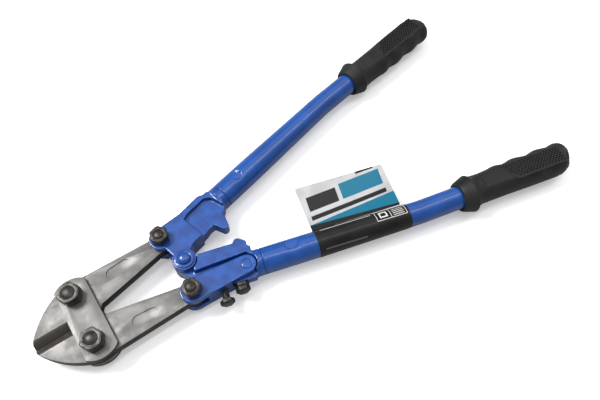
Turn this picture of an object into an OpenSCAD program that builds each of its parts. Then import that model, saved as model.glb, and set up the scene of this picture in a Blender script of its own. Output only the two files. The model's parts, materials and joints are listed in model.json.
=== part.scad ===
// Bolt cutters: two forged jaws on a pair of cover plates, worked by two tubular handles.
// Axes: X runs from the centre pivot towards the grips, Z is up, the tool lies on z = 0.
// Handle pieces are drawn in a handle frame: pivot at the origin, tube along X, outward is +Y.

/* [Linkage] */
// Distance from the centre pivot to the jaw pivots, along the tool
jaw_pivot_x = 82.5; // [70:0.5:100]
// Distance of each jaw pivot from the tool's centre line
jaw_pivot_y = 20.3; // [17:0.1:25]
// Distance from the centre pivot to each tail pivot
crank_r = 26.6; // [24.5:0.1:33]
// Angle between each handle tube and the centre line, blades shut
handle_angle = 15.1; // [12:0.1:19]
// Sideways drift of the open pivot that the upper jaw's tail hole takes up
pivot_drift = 2.2; // [2:0.1:3]
// Sideways play in the same hole for setting the yoke
setting_play = 0.5; // [0.3:0.1:0.8]

/* [Jaws] */
// Reach of the blades ahead of the jaw pivots
blade_reach = 37.8; // [31:0.2:46]
// Thickness of a jaw
jaw_t = 8; // [6.5:0.1:10]
// Depth of the jaw's back beyond its pivot
jaw_back = 11.9; // [10:0.1:14.5]
// Radius of the curved back of a blade
blade_back_r = 66.7; // [56:0.5:80]
// Height of the blunt nose at the blade tip
nose_h = 3.4; // [2.8:0.1:4.2]
// Width of the ground bevel beside the cutting edge
bevel_w = 6; // [5:0.1:7.5]
// Half thickness of the flat land left on the cutting edge
edge_land = 0.25; // [0.1:0.05:0.4]
// Distance from the jaw pivot back to the throat of the V
throat_back = 15.5; // [13:0.1:18]
// Distance of the throat corner from the centre line
throat_h = 4.3; // [3.6:0.1:5.2]
// Radius of the jaw's tail end
tail_r = 8.1; // [7.5:0.05:9.6]
// Depth of the jaw's back beyond its tail pivot
tail_back = 5.7; // [4.8:0.1:6.8]
// Length of the shallow pocket in a jaw face
pocket_l = 20.5; // [17:0.5:24]
// Width of that pocket
pocket_w = 9.5; // [8:0.1:11]
// Depth of that pocket
pocket_d = 0.8; // [0.4:0.1:1.2]

/* [Cover plates] */
// Thickness of a cover plate
plate_t = 3.1; // [2.6:0.1:4]
// Plate edge ahead of the jaw pivots
plate_front = 10.4; // [9:0.1:12.5]
// Plate edge behind the jaw pivots
plate_rear = 13.7; // [12:0.1:16]
// Radius of the plate's round ends
plate_end_r = 17.6; // [15:0.1:21]
// Distance from the jaw pivot to the far end of the plate
plate_over = 13.9; // [12:0.1:16]

/* [Heads and yoke] */
// Half height of the head ears and yoke cheeks above the middle plane
ear_top = 9; // [8:0.1:10.8]
// Radius of the ears at the centre pivot
hub_r = 9.2; // [8.5:0.1:11]
// Radius of the ears at the upper tail pivot
ear_r = 9.2; // [8.5:0.1:11]
// Half height of the upper head's recessed web
web_half = 5; // [4.2:0.1:6]
// Distance of the upper tube's axis from the centre pivot
upper_axis = 22.1; // [20:0.1:26]
// Distance of the lower tube's axis from the centre pivot
lower_axis = 17.3; // [15:0.1:20]
// Distance from the centre pivot to the upper tube's seam
upper_seam = 61.2; // [56:0.1:73]
// Distance from the centre pivot to the lower tube's seam
lower_seam = 56.4; // [55:0.1:67]
// Distance of the closing stops from the centre pivot
stop_x = 41.8; // [38:0.1:45]
// Width of a closing stop
stop_w = 4.8; // [4:0.1:6]
// Reach of a closing stop past its handle's own pivot line
stop_reach = 4.1; // [3:0.1:5]
// Distance along the lower handle from the centre pivot to the yoke rivet
yoke_rivet_x = 43.9; // [41:0.1:46]
// Distance of the yoke rivet from the lower handle's pivot line
yoke_rivet_y = 18.7; // [17:0.1:20]
// Radius of the yoke at its jaw end
yoke_jaw_r = 9.6; // [9:0.1:11]
// Radius of the yoke at its rivet end
yoke_rivet_end_r = 7.5; // [6.5:0.1:8.5]
// Thickness of the yoke's outer wall
yoke_wall = 4; // [3.4:0.1:4.8]

/* [Pivot hardware] */
// Radius of the jaw bolts
jaw_bolt_r = 5; // [4.2:0.1:6]
// Width across flats of the jaw bolt nuts
jaw_nut_af = 15; // [13:0.5:18]
// Height of the jaw bolt nuts
jaw_nut_h = 8; // [6.5:0.1:9.6]
// Radius of the tail bolts
tail_bolt_r = 4; // [3.4:0.1:4.4]
// Width across flats of the tail bolt nuts
tail_nut_af = 13; // [11:0.5:15]
// Height of the tail bolt nuts
tail_nut_h = 6.5; // [5.4:0.1:7.8]
// Radius of the centre rivet
centre_rivet_r = 5; // [4.2:0.1:5.8]
// Height of the centre rivet's domed end
rivet_dome_h = 3.2; // [2.6:0.1:3.8]
// Thickness of the pivot washers
washer_t = 1.2; // [1:0.1:1.5]
// Width of a pivot washer's ring
washer_ring = 2.6; // [2:0.1:3.2]
// Length of thread that stands out of a nut
thread_out = 1.6; // [1:0.1:2]
// Radius of the yoke rivet
yoke_rivet_r = 4; // [3.3:0.1:4.8]

/* [Setting screws] */
// Thread radius of the setting screws
screw_r = 3; // [2.5:0.1:3.6]
// Width across flats of the setting screw heads
screw_af = 10; // [8.5:0.5:12]
// Height of a setting screw's head
screw_head_h = 4; // [3.4:0.1:4.8]
// Distance of the yoke's screw from the centre pivot, along the handle
outer_screw_x = 22.3; // [20:0.1:24]
// Distance of the head's screw from the centre pivot, along the handle
inner_screw_x = 36; // [34.5:0.1:38]
// Bare neck under the head of the yoke's screw
screw_neck = 7.5; // [6:0.1:9]
// Thickness of the lock nut on the head's screw
lock_nut_h = 3; // [2.4:0.1:3.6]

/* [Handles] */
// Outer radius of a tube where it leaves the head
tube_thick_r = 10.65; // [9.8:0.05:12]
// Outer radius of a tube at the grip
tube_thin_r = 9.65; // [8.5:0.05:10.6]
// Wall of the tubes
tube_wall = 2; // [1.6:0.1:2.4]
// Swelling of the tube at its bend
elbow_swell = 0.15; // [0.1:0.01:0.2]
// Length of the head's spigot inside the tube
spigot_l = 30; // [24:0.5:36]
// Distance from the centre pivot to the start of the taper
taper_start = 95; // [90:0.5:98]
// Distance from the centre pivot to the end of the taper
taper_end = 182; // [160:0.5:185]
// Distance from the centre pivot to the bend in the tube
bend_at = 191; // [186:0.5:215]
// Angle by which the tube bends inwards
bend_angle = 3.3; // [2.7:0.1:4]

/* [Grips] */
// Distance from the centre pivot to the front of the grips
grip_start = 227.3; // [220:0.1:273]
// Length of a grip
grip_l = 109.5; // [91:0.5:132]
// Largest radius of the grip's collar, on which the tool rests
collar_r = 16; // [15.5:0.1:19.5]
// Distance from the grip's front to the collar's ridge
collar_l = 11; // [9:0.1:13]
// Grip radius just behind the collar
grip_waist_r = 13.2; // [12.6:0.1:14]
// Grip radius near its end
grip_end_r = 14.3; // [13.8:0.1:15.5]
// Distance that the grip's body sits inwards of the tube
grip_offset = 1.5; // [1.2:0.1:1.8]
// Rubber left beyond the end of the tube
grip_cap = 6; // [5:0.1:8]

/* [Labels] */
// Distance from the centre pivot to the start of the wrapped label
label_start = 101; // [99:0.5:110]
// Length of the wrapped label
label_l = 79; // [66:0.5:80]
// Thickness of the wrapped label
label_t = 0.35; // [0.2:0.05:0.5]
// Length of the tag card
card_l = 76.5; // [64:0.5:79]
// Height of the tag card
card_h = 39; // [32:0.5:46]
// Thickness of the tag card
card_t = 0.6; // [0.4:0.1:0.9]
// Slant of the card's short sides
card_slant = -2.6; // [-4:0.1:0]
// Angle by which the card leans up from the middle plane
card_lean = 15; // [0:1:20]

/* [Clearances] */
// Gap beside each moving face
side_gap = 0.1; // [0.06:0.02:0.14]
// Radial running clearance in the pivots
run_gap = 0.05; // [0.02:0.01:0.09]
// Radial clearance of parts that are pressed or swaged together
seat_gap = 0.02; // [0.01:0.01:0.03]
// Half gap between the shut cutting edges
blade_gap = 0.05; // [0.02:0.01:0.1]
// Gap around parts that swing past each other
swing_gap = 0.7; // [0.6:0.1:1]

/* [Hidden] */
$fn = 96;

forge_blue = "#2340a8";
ground_steel = "#8f8b86";
black_steel = "#2b2a28";
plated_steel = "#5c5442";
grip_black = "#1d1d1f";
mid_z = collar_r;
far = 400;

jaw_half = jaw_t / 2;
cheek_low = jaw_half + side_gap;
plate_top = cheek_low + plate_t;
jaw_pivot = [-jaw_pivot_x, jaw_pivot_y];
tail_pivot = crank_r * [-sin(handle_angle), cos(handle_angle)];
tip_x = -jaw_pivot_x - blade_reach;
jaw_top_y = jaw_pivot_y + jaw_back;
throat = [-jaw_pivot_x + throat_back, throat_h];
jaw_middle = (jaw_pivot + tail_pivot) / 2;
tail_slot_r = tail_bolt_r + pivot_drift / 2 + setting_play + swing_gap / 4;
crank = [0, crank_r];
yoke_rivet_at = [yoke_rivet_x, yoke_rivet_y];
bore_r = tube_thick_r - tube_wall;
thin_bore_r = tube_thin_r - tube_wall;
spigot_r = bore_r - seat_gap;
grip_x = grip_start - bend_at;
tube_end_x = grip_x + grip_l - grip_cap;
screw_land_y = yoke_rivet_y + 0.9;
bridge_low = screw_land_y + 1.1;
bridge_high = bridge_low + yoke_wall;
flange_low = bridge_high + 0.6;
flange_high = flange_low + 4.4;
flange_end = inner_screw_x - 5.2;
// Length of the full-size collar between a head and its tube's seam.
socket_x = 6.4;
upper_collar_x = upper_seam - socket_x;
lower_collar_x = lower_seam - socket_x;
// Half width of the neck between the two ears, on their open side.
neck = 3.5;
// Lowest and highest edge of the upper head at its collar.
socket_low = upper_axis - tube_thick_r;
web_top = upper_axis + tube_thick_r;
// Drop of the upper rail's outer edge where it runs into the round collar.
rail_blend = 4.9;
// Edges of the raised rail along the lower head.
rail_low = -1;
rail_high = 10;
lower_socket_low = lower_axis - tube_thick_r;
lower_web_top = lower_axis + tube_thick_r;
label_end = label_start + label_l;
// Distance from a jaw pivot to the shoulder in front of it and to the end of the blade's bevel.
shoulder_run = 4.5;
shoulder = [-jaw_pivot_x - shoulder_run, jaw_top_y];
bevel_run = 9.5;
// Turn of the pocket in a jaw's face.
pocket_turn = 5;
// Extra room round the jaw's tail and the hub inside the heads.
ear_room = 0.3;
tail_room = 0.5;
// Reach of the slot for the jaw's tail past the centre pivot.
slot_reach = 7;
// Drop of the rim of a nut's chamfered top, and the swell at its foot.
nut_crown = 0.3;
nut_foot = 0.6;
// Ratio of a rivet dome's radius to the rivet's.
dome_ratio = 1.5;

function unit(v) = v / norm(v);
function turned(v, a) = [v.x * cos(a) - v.y * sin(a), v.x * sin(a) + v.y * cos(a)];
// Centre of an arc of radius r from a to b that bulges to the right of the way from a to b.
function arc_centre(a, b, r) =
    (a + b) / 2 + turned(unit(b - a), 90) * sqrt(r * r - pow(norm(b - a) / 2, 2));
// Outer tangent points of two circles, on the left (side 1) or right (side -1) of the way a to b.
function tangent_normal(a, ra, b, rb, side) = turned(unit(b - a), side * acos((ra - rb) / norm(b - a)));
function tube_r(x) = x < taper_start ? tube_thick_r
    : tube_thick_r - (tube_thick_r - tube_thin_r) * (x - taper_start) / (taper_end - taper_start);
// Outer edge of the yoke at a distance x along the lower handle.
function yoke_edge(x) = let (n = tangent_normal(crank, yoke_jaw_r, yoke_rivet_at, yoke_rivet_end_r, 1),
    p = crank + yoke_jaw_r * n) p.y - (x - p.x) * n.x / n.y;

module tool_frame() translate([0, 0, mid_z]) children();
module upper_frame() tool_frame() rotate([0, 0, handle_angle]) children();
module lower_frame() tool_frame() mirror([0, 1, 0]) rotate([0, 0, handle_angle]) children();
module layer(low, high) translate([0, 0, low]) linear_extrude(high - low) children();
module both_sides(low, high) {
    layer(low, high) children();
    layer(-high, -low) children();
}
module at(p) translate([p.x, p.y, 0]) children();
module post(r, low, high) translate([0, 0, low]) cylinder(r = r, h = high - low);
module hex_post(flats, low, high) translate([0, 0, low])
    cylinder(d = flats / cos(30), h = high - low, $fn = 6);
module disc(p, r) translate(p) circle(r);

// Two circles joined by their outer tangents, all exact arcs and lines.
module link(a, ra, b, rb) {
    left = tangent_normal(a, ra, b, rb, 1);
    right = tangent_normal(a, ra, b, rb, -1);
    disc(a, ra);
    disc(b, rb);
    polygon([a + ra * left, b + rb * left, b, b + rb * right, a + ra * right, a]);
}

module stadium(length, width) {
    for (side = [-1, 1]) translate([side * (length - width) / 2, 0]) circle(d = width);
    square([length - width, width], center = true);
}

// ---- jaws ----

module jaw_outline(tail) {
    back = arc_centre(shoulder, [tip_x, nose_h], blade_back_r);
    inner = tangent_normal(throat, 0.01, tail, tail_r, -1);
    intersection() {
        disc(back, blade_back_r);
        polygon([[tip_x, blade_gap], [-jaw_pivot_x - 1, blade_gap],
            throat - [1, throat_h * 0.4], throat, [throat.x, jaw_top_y], [tip_x, jaw_top_y]]);
    }
    polygon([throat, tail + tail_r * inner, tail, tail_pivot + [-2, tail_back],
        [throat.x - 1, jaw_top_y], [throat.x - 1, throat_h]]);
    disc(tail, tail_r);
}

module bevel_cut() {
    rotate([90, 0, 90]) translate([0, 0, tip_x - 1]) linear_extrude(-tip_x + 1 - jaw_pivot_x - bevel_run)
        polygon([[-3, edge_land], [0, edge_land], [bevel_w, jaw_half], [bevel_w, far], [-3, far]]);
}

module jaw(tail, hole_r) {
    difference() {
        layer(-jaw_half, jaw_half) jaw_outline(tail);
        at(jaw_pivot) post(jaw_bolt_r + run_gap, -far, far);
        at(tail) post(hole_r, -far, far);
        bevel_cut();
        mirror([0, 0, 1]) bevel_cut();
        at(jaw_middle) rotate([0, 0, pocket_turn]) both_sides(jaw_half - pocket_d, far)
            stadium(pocket_l, pocket_w);
    }
}

module upper_jaw() color(ground_steel)
    tool_frame() jaw(tail_pivot + [0, pivot_drift / 2], tail_slot_r);

module lower_jaw() color(ground_steel)
    tool_frame() mirror([0, 1, 0]) jaw(tail_pivot, tail_bolt_r + run_gap);

// ---- cover plates and jaw bolts ----

module plate_outline() {
    reach = jaw_pivot_y + plate_over;
    intersection() {
        translate([-jaw_pivot_x - plate_front, -reach]) square([plate_front + plate_rear, 2 * reach]);
        link([(plate_rear - plate_front) / 2 - jaw_pivot_x, reach - plate_end_r], plate_end_r,
            [(plate_rear - plate_front) / 2 - jaw_pivot_x, plate_end_r - reach], plate_end_r);
    }
}

module plate() difference() {
    layer(cheek_low, plate_top) plate_outline();
    for (side = [-1, 1]) translate([-jaw_pivot_x, side * jaw_pivot_y, 0])
        post(jaw_bolt_r + seat_gap, -far, far);
}

module front_plate() color(ground_steel) tool_frame() plate();
module rear_plate() color(ground_steel) tool_frame() mirror([0, 0, 1]) plate();

module washer(hole_r, low) difference() {
    post(hole_r + washer_ring, low, low + washer_t);
    post(hole_r + seat_gap, -far, far);
}

module nut(flats, hole_r, low, high) difference() {
    intersection() {
        hex_post(flats, low, high);
        translate([0, 0, low])
            cylinder(r1 = flats / 2 + high - low + nut_foot, r2 = flats / 2 + nut_crown, h = high - low);
    }
    post(hole_r + seat_gap, -far, far);
}

// A bolt with a hexagon head below, down to the surface the tool lies on, and a domed upper end.
module bolt(r, flats, head_low, head_high, end) {
    post(r, head_high, end - thread_out);
    hex_post(flats, head_low, head_high);
    intersection() {
        post(r, end - thread_out, end);
        translate([0, 0, end - 2 * r]) sphere(2 * r);
    }
}

module jaw_bolt() bolt(jaw_bolt_r, jaw_nut_af, -mid_z, -plate_top,
    plate_top + washer_t + jaw_nut_h + thread_out);
module jaw_washer() washer(jaw_bolt_r, plate_top);
module jaw_nut() nut(jaw_nut_af, jaw_bolt_r, plate_top + washer_t, plate_top + washer_t + jaw_nut_h);
module at_upper_jaw() tool_frame() at(jaw_pivot) children();
module at_lower_jaw() tool_frame() mirror([0, 1, 0]) at(jaw_pivot) children();

module upper_jaw_bolt() color(black_steel) at_upper_jaw() jaw_bolt();
module lower_jaw_bolt() color(black_steel) at_lower_jaw() jaw_bolt();
module upper_jaw_washer() color(black_steel) at_upper_jaw() jaw_washer();
module lower_jaw_washer() color(black_steel) at_lower_jaw() jaw_washer();
module upper_jaw_nut() color(black_steel) at_upper_jaw() jaw_nut();
module lower_jaw_nut() color(black_steel) at_lower_jaw() jaw_nut();

// ---- tail bolts ----

module tail_bolt() bolt(tail_bolt_r, tail_nut_af, -ear_top - tail_nut_h + 1, -ear_top,
    ear_top + washer_t + tail_nut_h + thread_out);
module tail_washer() washer(tail_bolt_r, ear_top);
module tail_nut() nut(tail_nut_af, tail_bolt_r, ear_top + washer_t, ear_top + washer_t + tail_nut_h);

module upper_tail_bolt() color(plated_steel) upper_frame() at(crank) tail_bolt();
module lower_tail_bolt() color(plated_steel) lower_frame() at(crank) tail_bolt();
module upper_tail_washer() color(plated_steel) upper_frame() at(crank) tail_washer();
module lower_tail_washer() color(plated_steel) lower_frame() at(crank) tail_washer();
module upper_tail_nut() color(plated_steel) upper_frame() at(crank) tail_nut();
module lower_tail_nut() color(plated_steel) lower_frame() at(crank) tail_nut();

// ---- centre pivot ----

module centre_rivet() color(forge_blue) tool_frame() {
    post(centre_rivet_r, -ear_top - washer_t, ear_top + washer_t);
    post(centre_rivet_r + washer_ring - 0.8, -mid_z, -ear_top - washer_t);
    translate([0, 0, ear_top + washer_t]) intersection() {
        post(centre_rivet_r, 0, rivet_dome_h);
        translate([0, 0, rivet_dome_h - dome_ratio * centre_rivet_r]) sphere(dome_ratio * centre_rivet_r);
    }
}

module front_centre_washer() color(forge_blue) tool_frame() washer(centre_rivet_r, ear_top);
module rear_centre_washer() color(forge_blue) tool_frame() mirror([0, 0, 1])
    washer(centre_rivet_r, ear_top);

// ---- upper head ----

module stop_lug(base_y) polygon([[stop_x - stop_w, base_y + 4], [stop_x - stop_w, base_y],
    [stop_x - stop_w / 2, 1.5 - stop_reach], [stop_x - stop_w / 2 + 1.2, -stop_reach],
    [stop_x + stop_w / 2 - 1, -stop_reach], [stop_x + stop_w / 2 + 0.6, 1 - stop_reach],
    [stop_x + stop_w + 2, base_y], [stop_x + stop_w + 2, base_y + 4]]);

module upper_ears_outline() {
    disc(crank, ear_r);
    circle(hub_r);
    polygon([[-neck, 2], [-neck, crank_r - 2], crank + (ear_r - 1) * [cos(82), sin(82)], [9, web_top + 1.2],
        [24, web_top - 0.8], [24, 4.6], [13, 4.4], [4, 1]]);
}

module upper_web_outline() {
    polygon([[20, 4.6], [28, 4.8], [32, 5.8], [stop_x, 5.2], [stop_x + stop_w + 5, socket_low - 2.6],
        [upper_collar_x, socket_low - 0.5], [upper_collar_x, web_top], [20, web_top - 1]]);
    stop_lug(5.4);
}

module upper_rail_outline() polygon([[20, web_top - 8.5], [28, web_top - 5.8],
    [upper_collar_x - 8, web_top - 5.2], [upper_collar_x - 3, web_top - 9],
    [upper_collar_x - 1, socket_low + 1], [upper_collar_x + 1, socket_low + 1],
    [upper_collar_x + 1, web_top - rail_blend], [upper_collar_x - 2 * rail_blend, web_top],
    [20, web_top - 1]]);

// The round end that carries the tube: a full-size collar and a spigot inside the bore.
module socket(axis_y, seam) translate([0, axis_y, 0]) rotate([0, 90, 0]) {
    post(tube_thick_r, seam - socket_x, seam);
    post(spigot_r, seam, seam + spigot_l);
}

module upper_slot_outline() {
    disc([0, 0], hub_r + swing_gap + ear_room);
    disc(crank, tail_r + pivot_drift + setting_play + swing_gap + tail_room);
    translate([-far, 0]) square([far + slot_reach, crank_r]);
}

module upper_head() color(forge_blue) upper_frame() difference() {
    union() {
        layer(-ear_top, ear_top) upper_ears_outline();
        layer(-web_half, web_half) upper_web_outline();
        layer(-ear_top, ear_top) upper_rail_outline();
        socket(upper_axis, upper_seam);
    }
    layer(-cheek_low, cheek_low) upper_slot_outline();
    post(centre_rivet_r + run_gap, -far, far);
    at(crank) post(tail_bolt_r + seat_gap, -far, far);
}

// ---- lower head ----

module lower_web_outline() difference() {
    union() {
        circle(hub_r);
        polygon([[0, 0], hub_r * [cos(150), sin(150)], [1, 14.5], [10, screw_land_y],
            [yoke_rivet_x - 3, screw_land_y], [yoke_rivet_x - 1.5, flange_low], [flange_end, flange_low],
            [flange_end, flange_high], [lower_collar_x - 1.5, flange_high],
            [lower_collar_x + 0.5, lower_web_top - 1], [lower_collar_x + 0.5, lower_socket_low],
            [stop_x + stop_w + 4, lower_socket_low - 1.2], [stop_x, 3], [12, rail_low], [0, -5]]);
    }
    disc(crank, tail_r + swing_gap + 0.8);
}

module lower_rail_outline() difference() {
    union() {
        polygon([[5, rail_low], [stop_x, rail_low], [stop_x + stop_w + 4, lower_socket_low - 1.2],
            [lower_collar_x + 0.5, lower_socket_low + 0.6], [lower_collar_x + 0.5, lower_axis + 8],
            [lower_collar_x - 0.5, lower_axis + 8], [lower_collar_x - 0.5, rail_high + 4],
            [lower_collar_x - 3.5, rail_high - 0.6], [5, rail_high + 2]]);
        stop_lug(rail_low + 1);
    }
    circle(hub_r + swing_gap);
    link(crank, yoke_jaw_r + swing_gap, yoke_rivet_at, yoke_rivet_end_r + swing_gap);
}

module lower_head() color(forge_blue) lower_frame() difference() {
    union() {
        layer(-jaw_half, jaw_half) lower_web_outline();
        layer(-ear_top, ear_top) lower_rail_outline();
        socket(lower_axis, lower_seam);
    }
    post(centre_rivet_r + seat_gap, -far, far);
    at(yoke_rivet_at) post(yoke_rivet_r + seat_gap, -far, far);
    translate([inner_screw_x, 0, 0]) rotate([-90, 0, 0]) post(screw_r + run_gap, bridge_low, far);
    both_sides(cheek_low - side_gap, far) disc(yoke_rivet_at, yoke_rivet_end_r + swing_gap);
}

module yoke_rivet() color(forge_blue) lower_frame() at(yoke_rivet_at)
    post(yoke_rivet_r, -ear_top, ear_top);

// ---- yoke and setting screws ----

module yoke_outline() link(crank, yoke_jaw_r, yoke_rivet_at, yoke_rivet_end_r);

module yoke_wall_outline() {
    wall_start = tail_r + swing_gap + 1;
    wall_end = flange_end - swing_gap;
    wall_inner = wall_end - yoke_wall;
    bridge_end = inner_screw_x + 2.5;
    intersection() {
        yoke_outline();
        polygon([[wall_start, yoke_edge(wall_start) - yoke_wall],
            [wall_inner, yoke_edge(wall_end) - yoke_wall], [wall_inner, bridge_low],
            [bridge_end, bridge_low], [bridge_end, bridge_high], [wall_end, bridge_high], [wall_end, far], [wall_start, far]]);
    }
}

module yoke() color(forge_blue) lower_frame() difference() {
    union() {
        both_sides(cheek_low, ear_top) yoke_outline();
        layer(-ear_top, ear_top) yoke_wall_outline();
    }
    at(crank) post(tail_bolt_r + seat_gap, -far, far);
    at(yoke_rivet_at) post(yoke_rivet_r + run_gap, -far, far);
    translate([outer_screw_x, 0, 0]) rotate([-90, 0, 0]) post(screw_r + run_gap, bridge_low, far);
}

// A hexagon screw that points inwards: tip at tip_y, head above head_y.
module setting_screw(x, tip_y, head_y) translate([x, 0, 0]) rotate([-90, 0, 0]) {
    post(screw_r, tip_y, head_y);
    intersection() {
        hex_post(screw_af, head_y, head_y + screw_head_h);
        translate([0, 0, head_y]) cylinder(r1 = screw_af, r2 = screw_af / 2 + 0.2, h = screw_head_h);
    }
}

module yoke_setting_screw() color(black_steel) lower_frame()
    setting_screw(outer_screw_x, screw_land_y + run_gap, yoke_edge(outer_screw_x) + screw_neck);
module head_setting_screw() color(black_steel) lower_frame()
    setting_screw(inner_screw_x, bridge_high + run_gap, flange_high + lock_nut_h + 0.5);
module setting_lock_nut() color(black_steel) lower_frame() translate([inner_screw_x, 0, 0])
    rotate([-90, 0, 0]) difference() {
        hex_post(screw_af, flange_high, flange_high + lock_nut_h);
        post(screw_r + run_gap, 0, far);
    }

// ---- handles ----

module at_bend(axis_y) translate([bend_at, axis_y, 0]) rotate([0, 90, -bend_angle]) children();

// A tapered run from the seam, a ball at the bend and a straight end under the grip.
module tube_run(axis_y, start, thick, thin, end) {
    translate([0, axis_y, 0]) rotate([0, 90, 0]) rotate_extrude() polygon([[0, start], [thick, start],
        [thick, taper_start], [thin, taper_end], [thin, bend_at], [0, bend_at]]);
    translate([bend_at, axis_y, 0]) rotate([0, 90, -bend_angle / 2]) sphere(thin + elbow_swell);
    at_bend(axis_y) post(thin, 0, end);
}

module tube(axis_y, seam) difference() {
    tube_run(axis_y, seam, tube_thick_r, tube_thin_r, tube_end_x);
    tube_run(axis_y, seam - 1, bore_r, thin_bore_r, tube_end_x + 1);
}

module upper_tube() color(forge_blue) upper_frame() tube(upper_axis, upper_seam);
module lower_tube() color(forge_blue) lower_frame() tube(lower_axis, lower_seam);

module grip(axis_y) at_bend(axis_y) translate([0, 0, grip_x]) difference() {
    union() {
        rotate_extrude() polygon([[0, 0], [tube_thin_r + 2.6, 0], [tube_thin_r + 3.6, 1.5],
            [collar_r - 0.4, collar_l - 1.6], [collar_r, collar_l - 0.8], [collar_r, collar_l + 0.4],
            [collar_r - 1.2, collar_l + 1.6], [grip_waist_r - 0.6, collar_l + 8], [0, collar_l + 8]]);
        translate([0, -grip_offset, 0]) rotate_extrude() polygon([[0, collar_l], [grip_waist_r, collar_l],
            [grip_waist_r, collar_l + 22], [grip_end_r, grip_l - 30], [grip_end_r, grip_l - 9],
            [grip_end_r - 1.6, grip_l - 5], [grip_end_r - 5, grip_l - 1.4], [grip_end_r - 9, grip_l],
            [0, grip_l]]);
    }
    post(tube_thin_r + seat_gap, -1, grip_l - grip_cap);
}

module upper_grip() color(grip_black) upper_frame() grip(upper_axis);
module lower_grip() color(grip_black) lower_frame() grip(lower_axis);

// ---- labels ----

module tube_label() color("#111214") lower_frame() translate([0, lower_axis, 0]) rotate([0, 90, 0])
    rotate_extrude() polygon([[tube_r(label_start) + seat_gap, label_start],
        [tube_r(label_start) + label_t, label_start], [tube_r(label_end) + label_t, label_end],
        [tube_r(label_end) + seat_gap, label_end]]);

// The card stands on the wrapped label and leans up from the middle plane.
module tag_card() color("#b9c4c8") lower_frame() translate([0, lower_axis, 0])
    rotate([180 - card_lean, 0, 0]) {
    card_start = label_start + 0.5;
    card_end = card_start + card_l;
    translate([0, 0, -card_t / 2]) linear_extrude(card_t) polygon([
        [card_start, tube_r(card_start) + label_t + seat_gap],
        [card_end, tube_r(card_end) + label_t + seat_gap],
        [card_end + card_slant, tube_thin_r + card_h], [card_start + card_slant, tube_thin_r + card_h]]);
}

lower_head();
lower_tube();
lower_grip();
tube_label();
tag_card();
centre_rivet();
front_centre_washer();
rear_centre_washer();
yoke_rivet();
head_setting_screw();
setting_lock_nut();
yoke();
yoke_setting_screw();
lower_tail_bolt();
lower_tail_washer();
lower_tail_nut();
lower_jaw();
upper_jaw();
front_plate();
rear_plate();
upper_jaw_bolt();
lower_jaw_bolt();
upper_jaw_washer();
lower_jaw_washer();
upper_jaw_nut();
lower_jaw_nut();
upper_head();
upper_tube();
upper_grip();
upper_tail_bolt();
upper_tail_washer();
upper_tail_nut();
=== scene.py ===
"""Bolt cutters: the visible model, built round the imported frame.

Each sub-assembly is a class that makes its meshes and dresses them. Lengths in the classes are in
millimetres and become metres where a mesh is made. Handle pieces are made in a handle frame, with the
centre pivot at the origin, the tube along X and outward as +Y, and are then laid in place.
"""

from __future__ import annotations

import json
import logging
import math
from dataclasses import dataclass, field, replace
from enum import Enum
from typing import Callable, Iterable, Sequence

import bpy
from mathutils import Matrix, Vector


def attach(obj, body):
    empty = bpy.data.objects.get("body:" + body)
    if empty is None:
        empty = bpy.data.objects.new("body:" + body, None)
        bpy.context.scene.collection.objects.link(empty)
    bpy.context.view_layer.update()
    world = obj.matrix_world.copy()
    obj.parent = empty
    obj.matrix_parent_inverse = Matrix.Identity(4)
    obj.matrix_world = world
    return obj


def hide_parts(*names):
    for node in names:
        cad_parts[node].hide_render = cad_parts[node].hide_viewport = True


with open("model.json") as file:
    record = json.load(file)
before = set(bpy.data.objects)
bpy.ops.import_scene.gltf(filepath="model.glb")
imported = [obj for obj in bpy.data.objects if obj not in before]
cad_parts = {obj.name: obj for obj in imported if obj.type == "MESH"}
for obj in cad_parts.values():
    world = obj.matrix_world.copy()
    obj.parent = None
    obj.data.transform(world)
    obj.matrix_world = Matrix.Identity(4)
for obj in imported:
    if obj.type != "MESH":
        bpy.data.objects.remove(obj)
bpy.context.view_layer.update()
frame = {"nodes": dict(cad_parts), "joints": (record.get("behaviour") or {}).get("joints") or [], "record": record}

LOG = logging.getLogger("bolt_cutters")
MM = 0.001
UPPER_AXIS_Y = 22.1
LOWER_AXIS_Y = 17.3
BEND_AT = 191.0
BEND_ANGLE = 3.3
LABEL_X = 101.0
LABEL_L = 79.0
CARD_X = 101.5
CARD_L = 76.5
CARD_LEAN = 15.0
Colour = tuple[float, float, float]
Object = bpy.types.Object
Socket = bpy.types.NodeSocket


def joint_place(name: str) -> Vector:
    """The point, in metres, about which a joint of the frame turns.

    Args:
        name: the joint's name in the record.
    """
    return next(Vector(j["pos_m"]) for j in frame["joints"] if j["name"] == name)


PIVOT = joint_place("handle_fold")
TAIL = joint_place("lower_jaw_pivot")
HANDLE_ANGLE = math.atan2(-TAIL.x, -TAIL.y)


class Side(Enum):
    """Which of the two handles a piece belongs to."""

    UPPER = "upper"
    LOWER = "lower"

    @property
    def body(self) -> str:
        """The body that the handle's pieces ride on."""
        return f"{self.value}_handle"

    @property
    def place(self) -> Matrix:
        """The matrix from the handle frame to the row frame."""
        turn = Matrix.Rotation(HANDLE_ANGLE, 4, "Z")
        flip = Matrix.Scale(-1 if self is Side.LOWER else 1, 4, Vector((0, 1, 0)))
        return Matrix.Translation(PIVOT) @ flip @ turn


# ---------------------------------------------------------------- mesh helpers


def to_mode(mode: str) -> None:
    """Changes the active object's mode."""
    bpy.ops.object.mode_set(mode=mode)


def deselect() -> None:
    """Leaves edit mode and deselects everything."""
    if bpy.context.object and bpy.context.object.mode != "OBJECT":
        to_mode("OBJECT")
    bpy.ops.object.select_all(action="DESELECT")


def take(piece: Object) -> Object:
    """Makes a piece the only selected and the active object.

    Args:
        piece: the object to take in hand.

    Returns:
        The same object.
    """
    deselect()
    bpy.context.view_layer.objects.active = piece
    piece.select_set(True)
    return piece


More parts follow.
